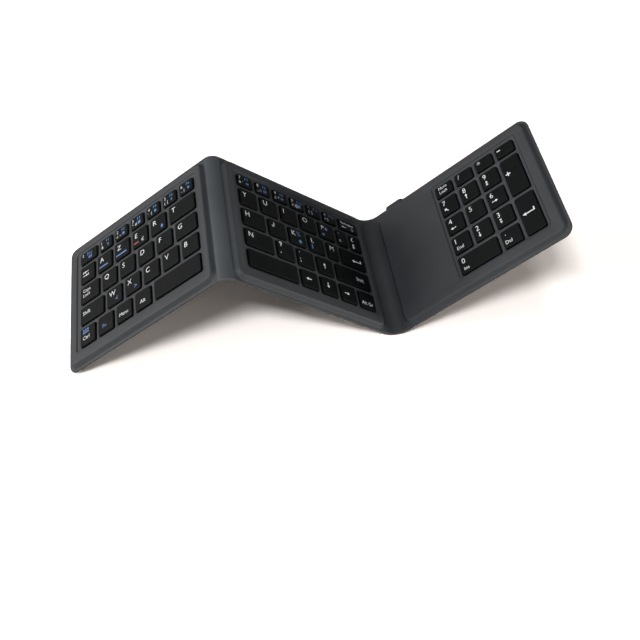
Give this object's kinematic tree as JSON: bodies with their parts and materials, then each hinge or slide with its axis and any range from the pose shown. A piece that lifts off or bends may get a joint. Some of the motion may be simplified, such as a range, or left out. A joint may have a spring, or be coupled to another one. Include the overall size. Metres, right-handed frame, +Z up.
{
  "type": "folding keyboard",
  "caption": "Pocket keyboard of three soft-skinned panels joined by two fold webs, with low travelling keys and a number pad, standing as a zigzag.",
  "frame": {"origin": "on the table under the middle of the standing keyboard's footprint", "axes": "+X along the three panels from the left panel's free end to the right panel's, +Y to the rear edge, +Z up"},
  "size_m": [0.3006, 0.095, 0.088],
  "materials": {
    "soft_skin": "matte soft-touch silicone",
    "web_skin": "matte soft-touch silicone, smooth where it bends",
    "key_plastic": "fine matte with printed legends",
    "plate_metal": "plain rolled sheet",
    "membrane_film": "satin film",
    "dome_rubber": "matte",
    "link_plastic": "satin",
    "flex_film": "polyimide film",
    "battery_foil": "matt pouch foil",
    "board_resin": "solder mask",
    "port_metal": "plated shell"
  },
  "bodies": {
    "middle_panel": {"middle_top_skin": "soft_skin", "middle_bottom_skin": "soft_skin", "middle_base_plate": "plate_metal", "middle_membrane": "membrane_film", "middle_domes": "dome_rubber", "middle_scissors": "link_plastic"},
    "left_web": {"fold_web_left": "web_skin", "flex_cable_left": "flex_film"},
    "left_panel": {"left_top_skin": "soft_skin", "left_bottom_skin": "soft_skin", "left_base_plate": "plate_metal", "left_membrane": "membrane_film", "left_domes": "dome_rubber", "left_scissors": "link_plastic"},
    "right_web": {"fold_web_right": "web_skin", "flex_cable_right": "flex_film"},
    "right_panel": {"right_top_skin": "soft_skin", "right_bottom_skin": "soft_skin", "right_base_plate": "plate_metal", "right_membrane": "membrane_film", "right_domes": "dome_rubber", "right_scissors": "link_plastic", "battery": "battery_foil", "main_board": "board_resin", "charge_port": "port_metal"},
    "key_esc_cap": {"key_esc": "key_plastic"},
    "key_tab_cap": {"key_tab": "key_plastic"},
    "key_caps_cap": {"key_caps": "key_plastic"},
    "key_shift_left_cap": {"key_shift_left": "key_plastic"},
    "key_ctrl_cap": {"key_ctrl": "key_plastic"},
    "key_fn_cap": {"key_fn": "key_plastic"},
    "key_menu_cap": {"key_menu": "key_plastic"},
    "key_alt_cap": {"key_alt": "key_plastic"},
    "key_space_left_cap": {"key_space_left": "key_plastic"},
    "keys_digits_left_caps": {"keys_digits_left": "key_plastic"},
    "keys_upper_left_caps": {"keys_upper_left": "key_plastic"},
    "keys_home_left_caps": {"keys_home_left": "key_plastic"},
    "keys_lower_left_caps": {"keys_lower_left": "key_plastic"},
    "key_backspace_cap": {"key_backspace": "key_plastic"},
    "key_enter_cap": {"key_enter": "key_plastic"},
    "key_shift_right_cap": {"key_shift_right": "key_plastic"},
    "key_up_cap": {"key_up": "key_plastic"},
    "key_left_cap": {"key_left": "key_plastic"},
    "key_down_cap": {"key_down": "key_plastic"},
    "key_right_cap": {"key_right": "key_plastic"},
    "key_alt_gr_cap": {"key_alt_gr": "key_plastic"},
    "key_space_right_cap": {"key_space_right": "key_plastic"},
    "keys_digits_middle_caps": {"keys_digits_middle": "key_plastic"},
    "keys_upper_middle_caps": {"keys_upper_middle": "key_plastic"},
    "keys_home_middle_caps": {"keys_home_middle": "key_plastic"},
    "keys_lower_middle_caps": {"keys_lower_middle": "key_plastic"},
    "key_num_lock_cap": {"key_num_lock": "key_plastic"},
    "key_plus_cap": {"key_plus": "key_plastic"},
    "key_pad_enter_cap": {"key_pad_enter": "key_plastic"},
    "key_zero_cap": {"key_zero": "key_plastic"},
    "key_decimal_cap": {"key_decimal": "key_plastic"},
    "keys_pad_operators_caps": {"keys_pad_operators": "key_plastic"},
    "keys_pad_upper_caps": {"keys_pad_upper": "key_plastic"},
    "keys_pad_centre_caps": {"keys_pad_centre": "key_plastic"},
    "keys_pad_lower_caps": {"keys_pad_lower": "key_plastic"}
  },
  "joints": [
    {"name": "fold_left", "type": "hinge", "parent": "middle_panel", "child": "left_web", "pos_m": [-0.04785, 0, 0.08006], "axis": [0, -1, 0], "range_deg": [-39.6, 50.4], "deforming": ["fold_web_left", "flex_cable_left"]},
    {"name": "fold_right", "type": "hinge", "parent": "middle_panel", "child": "right_web", "pos_m": [0.04758, 0, 0.0015], "axis": [0, -1, 0], "range_deg": [-41.2, 48.8], "deforming": ["fold_web_right", "flex_cable_right"]},
    {"name": "fold_left_outer", "type": "hinge", "parent": "left_web", "child": "left_panel", "pos_m": [-0.05425, 0, 0.08004], "axis": [0, -1, 0], "range_deg": [-39.6, 50.4], "deforming": ["fold_web_left", "flex_cable_left"]},
    {"name": "fold_right_outer", "type": "hinge", "parent": "right_web", "child": "right_panel", "pos_m": [0.05777, 0, 0.00181], "axis": [0, -1, 0], "range_deg": [-41.2, 48.8], "deforming": ["fold_web_right", "flex_cable_right"]},
    {"name": "press_esc", "type": "slide", "parent": "left_panel", "child": "key_esc_cap", "axis": [-0.6393, 0, 0.769], "range_m": [-0.0012, 0], "stiffness_N_per_m": 400, "deforming": ["left_domes", "left_scissors"]},
    {"name": "press_tab", "type": "slide", "parent": "left_panel", "child": "key_tab_cap", "axis": [-0.6393, 0, 0.769], "range_m": [-0.0012, 0], "stiffness_N_per_m": 400, "deforming": ["left_domes", "left_scissors"]},
    {"name": "press_caps", "type": "slide", "parent": "left_panel", "child": "key_caps_cap", "axis": [-0.6393, 0, 0.769], "range_m": [-0.0012, 0], "stiffness_N_per_m": 400, "deforming": ["left_domes", "left_scissors"]},
    {"name": "press_shift_left", "type": "slide", "parent": "left_panel", "child": "key_shift_left_cap", "axis": [-0.6393, 0, 0.769], "range_m": [-0.0012, 0], "stiffness_N_per_m": 400, "deforming": ["left_domes", "left_scissors"]},
    {"name": "press_ctrl", "type": "slide", "parent": "left_panel", "child": "key_ctrl_cap", "axis": [-0.6393, 0, 0.769], "range_m": [-0.0012, 0], "stiffness_N_per_m": 400, "deforming": ["left_domes", "left_scissors"]},
    {"name": "press_fn", "type": "slide", "parent": "left_panel", "child": "key_fn_cap", "axis": [-0.6393, 0, 0.769], "range_m": [-0.0012, 0], "stiffness_N_per_m": 400, "deforming": ["left_domes", "left_scissors"]},
    {"name": "press_menu", "type": "slide", "parent": "left_panel", "child": "key_menu_cap", "axis": [-0.6393, 0, 0.769], "range_m": [-0.0012, 0], "stiffness_N_per_m": 400, "deforming": ["left_domes", "left_scissors"]},
    {"name": "press_alt", "type": "slide", "parent": "left_panel", "child": "key_alt_cap", "axis": [-0.6393, 0, 0.769], "range_m": [-0.0012, 0], "stiffness_N_per_m": 400, "deforming": ["left_domes", "left_scissors"]},
    {"name": "press_space_left", "type": "slide", "parent": "left_panel", "child": "key_space_left_cap", "axis": [-0.6393, 0, 0.769], "range_m": [-0.0012, 0], "stiffness_N_per_m": 400, "deforming": ["left_domes", "left_scissors"]},
    {"name": "press_digits_left", "type": "slide", "parent": "left_panel", "child": "keys_digits_left_caps", "axis": [-0.6393, 0, 0.769], "range_m": [-0.0012, 0], "stiffness_N_per_m": 400, "deforming": ["left_domes", "left_scissors"]},
    {"name": "press_upper_left", "type": "slide", "parent": "left_panel", "child": "keys_upper_left_caps", "axis": [-0.6393, 0, 0.769], "range_m": [-0.0012, 0], "stiffness_N_per_m": 400, "deforming": ["left_domes", "left_scissors"]},
    {"name": "press_home_left", "type": "slide", "parent": "left_panel", "child": "keys_home_left_caps", "axis": [-0.6393, 0, 0.769], "range_m": [-0.0012, 0], "stiffness_N_per_m": 400, "deforming": ["left_domes", "left_scissors"]},
    {"name": "press_lower_left", "type": "slide", "parent": "left_panel", "child": "keys_lower_left_caps", "axis": [-0.6393, 0, 0.769], "range_m": [-0.0012, 0], "stiffness_N_per_m": 400, "deforming": ["left_domes", "left_scissors"]},
    {"name": "press_backspace", "type": "slide", "parent": "middle_panel", "child": "key_backspace_cap", "axis": [0.6356, 0, 0.7721], "range_m": [-0.0012, 0], "stiffness_N_per_m": 400, "deforming": ["middle_domes", "middle_scissors"]},
    {"name": "press_enter", "type": "slide", "parent": "middle_panel", "child": "key_enter_cap", "axis": [0.6356, 0, 0.7721], "range_m": [-0.0012, 0], "stiffness_N_per_m": 400, "deforming": ["middle_domes", "middle_scissors"]},
    {"name": "press_shift_right", "type": "slide", "parent": "middle_panel", "child": "key_shift_right_cap", "axis": [0.6356, 0, 0.7721], "range_m": [-0.0012, 0], "stiffness_N_per_m": 400, "deforming": ["middle_domes", "middle_scissors"]},
    {"name": "press_up", "type": "slide", "parent": "middle_panel", "child": "key_up_cap", "axis": [0.6356, 0, 0.7721], "range_m": [-0.0012, 0], "stiffness_N_per_m": 400, "deforming": ["middle_domes", "middle_scissors"]},
    {"name": "press_left", "type": "slide", "parent": "middle_panel", "child": "key_left_cap", "axis": [0.6356, 0, 0.7721], "range_m": [-0.0012, 0], "stiffness_N_per_m": 400, "deforming": ["middle_domes", "middle_scissors"]},
    {"name": "press_down", "type": "slide", "parent": "middle_panel", "child": "key_down_cap", "axis": [0.6356, 0, 0.7721], "range_m": [-0.0012, 0], "stiffness_N_per_m": 400, "deforming": ["middle_domes", "middle_scissors"]},
    {"name": "press_right", "type": "slide", "parent": "middle_panel", "child": "key_right_cap", "axis": [0.6356, 0, 0.7721], "range_m": [-0.0012, 0], "stiffness_N_per_m": 400, "deforming": ["middle_domes", "middle_scissors"]},
    {"name": "press_alt_gr", "type": "slide", "parent": "middle_panel", "child": "key_alt_gr_cap", "axis": [0.6356, 0, 0.7721], "range_m": [-0.0012, 0], "stiffness_N_per_m": 400, "deforming": ["middle_domes", "middle_scissors"]},
    {"name": "press_space_right", "type": "slide", "parent": "middle_panel", "child": "key_space_right_cap", "axis": [0.6356, 0, 0.7721], "range_m": [-0.0012, 0], "stiffness_N_per_m": 400, "deforming": ["middle_domes", "middle_scissors"]},
    {"name": "press_digits_middle", "type": "slide", "parent": "middle_panel", "child": "keys_digits_middle_caps", "axis": [0.6356, 0, 0.7721], "range_m": [-0.0012, 0], "stiffness_N_per_m": 400, "deforming": ["middle_domes", "middle_scissors"]},
    {"name": "press_upper_middle", "type": "slide", "parent": "middle_panel", "child": "keys_upper_middle_caps", "axis": [0.6356, 0, 0.7721], "range_m": [-0.0012, 0], "stiffness_N_per_m": 400, "deforming": ["middle_domes", "middle_scissors"]},
    {"name": "press_home_middle", "type": "slide", "parent": "middle_panel", "child": "keys_home_middle_caps", "axis": [0.6356, 0, 0.7721], "range_m": [-0.0012, 0], "stiffness_N_per_m": 400, "deforming": ["middle_domes", "middle_scissors"]},
    {"name": "press_lower_middle", "type": "slide", "parent": "middle_panel", "child": "keys_lower_middle_caps", "axis": [0.6356, 0, 0.7721], "range_m": [-0.0012, 0], "stiffness_N_per_m": 400, "deforming": ["middle_domes", "middle_scissors"]},
    {"name": "press_num_lock", "type": "slide", "parent": "right_panel", "child": "key_num_lock_cap", "axis": [-0.6812, 0, 0.7321], "range_m": [-0.0012, 0], "stiffness_N_per_m": 400, "deforming": ["right_domes", "right_scissors"]},
    {"name": "press_plus", "type": "slide", "parent": "right_panel", "child": "key_plus_cap", "axis": [-0.6812, 0, 0.7321], "range_m": [-0.0012, 0], "stiffness_N_per_m": 400, "deforming": ["right_domes", "right_scissors"]},
    {"name": "press_pad_enter", "type": "slide", "parent": "right_panel", "child": "key_pad_enter_cap", "axis": [-0.6812, 0, 0.7321], "range_m": [-0.0012, 0], "stiffness_N_per_m": 400, "deforming": ["right_domes", "right_scissors"]},
    {"name": "press_zero", "type": "slide", "parent": "right_panel", "child": "key_zero_cap", "axis": [-0.6812, 0, 0.7321], "range_m": [-0.0012, 0], "stiffness_N_per_m": 400, "deforming": ["right_domes", "right_scissors"]},
    {"name": "press_decimal", "type": "slide", "parent": "right_panel", "child": "key_decimal_cap", "axis": [-0.6812, 0, 0.7321], "range_m": [-0.0012, 0], "stiffness_N_per_m": 400, "deforming": ["right_domes", "right_scissors"]},
    {"name": "press_pad_operators", "type": "slide", "parent": "right_panel", "child": "keys_pad_operators_caps", "axis": [-0.6812, 0, 0.7321], "range_m": [-0.0012, 0], "stiffness_N_per_m": 400, "deforming": ["right_domes", "right_scissors"]},
    {"name": "press_pad_upper", "type": "slide", "parent": "right_panel", "child": "keys_pad_upper_caps", "axis": [-0.6812, 0, 0.7321], "range_m": [-0.0012, 0], "stiffness_N_per_m": 400, "deforming": ["right_domes", "right_scissors"]},
    {"name": "press_pad_centre", "type": "slide", "parent": "right_panel", "child": "keys_pad_centre_caps", "axis": [-0.6812, 0, 0.7321], "range_m": [-0.0012, 0], "stiffness_N_per_m": 400, "deforming": ["right_domes", "right_scissors"]},
    {"name": "press_pad_lower", "type": "slide", "parent": "right_panel", "child": "keys_pad_lower_caps", "axis": [-0.6812, 0, 0.7321], "range_m": [-0.0012, 0], "stiffness_N_per_m": 400, "deforming": ["right_domes", "right_scissors"]}
  ],
  "couplings": [
    {"joint": "fold_left_outer", "follows": "fold_left", "ratio": 1},
    {"joint": "fold_right_outer", "follows": "fold_right", "ratio": 1}
  ]
}
